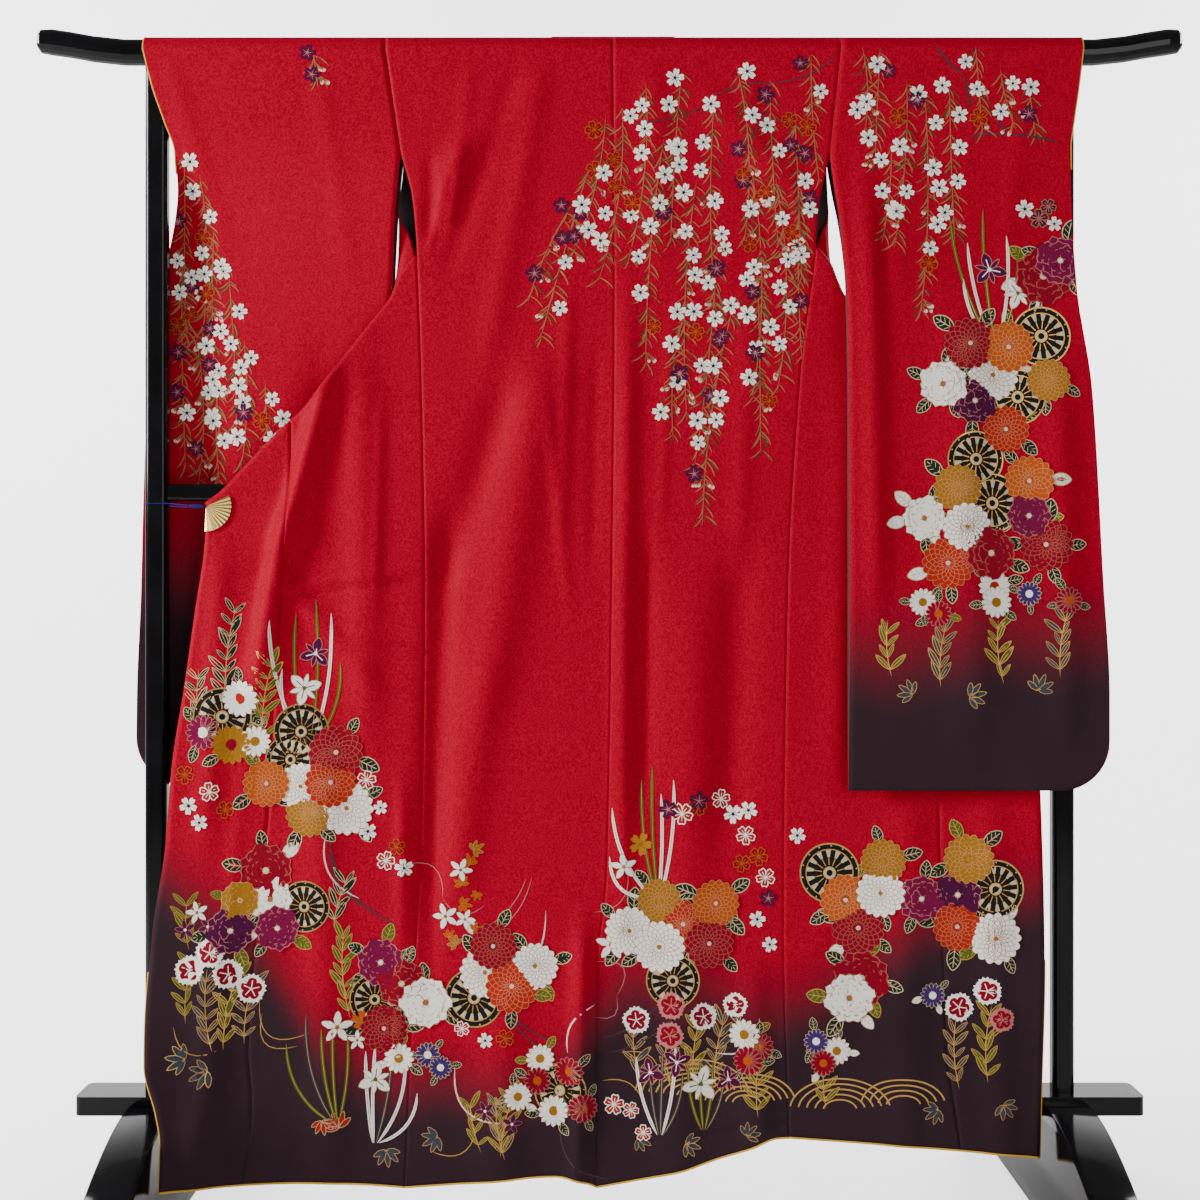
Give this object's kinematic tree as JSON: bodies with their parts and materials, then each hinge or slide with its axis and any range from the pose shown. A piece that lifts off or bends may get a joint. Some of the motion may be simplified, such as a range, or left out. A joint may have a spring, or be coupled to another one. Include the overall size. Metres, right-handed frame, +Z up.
{
  "type": "furisode on a kimono stand",
  "caption": "Long-sleeved silk kimono hung with its back forward over the rail of a lacquered stand, its fronts opened out and held by fan clips",
  "frame": {"origin": "on the floor under the middle of the stand", "axes": "+Z up, +X to the right of someone who faces the garment's back, +Y away from them"},
  "size_m": [1.668, 0.6378, 1.7319],
  "materials": {
    "red_silk": "satin crepe, dyed dark grey-purple toward the hems, with painted flowers",
    "lacquer": "black gloss lacquer",
    "gold_metal": "polished gold colour",
    "blue_cord": "thin twisted cord"
  },
  "bodies": {
    "root": {"top_rail": "lacquer", "post_left": "lacquer", "post_right": "lacquer", "mid_rail": "lacquer", "lower_board": "lacquer", "runner_left": "lacquer", "runner_right": "lacquer", "back_left": "red_silk", "back_right": "red_silk", "front_left": "red_silk", "front_right": "red_silk", "okumi_left": "red_silk", "okumi_right": "red_silk", "collar": "red_silk", "sleeve_left_back": "red_silk", "sleeve_left_front": "red_silk", "sleeve_right_back": "red_silk", "sleeve_right_front": "red_silk", "fan_left": "gold_metal", "fan_right": "gold_metal", "knot_left": "blue_cord", "knot_right": "blue_cord", "tie_left": "blue_cord", "tie_right": "blue_cord"}
  },
  "joints": []
}
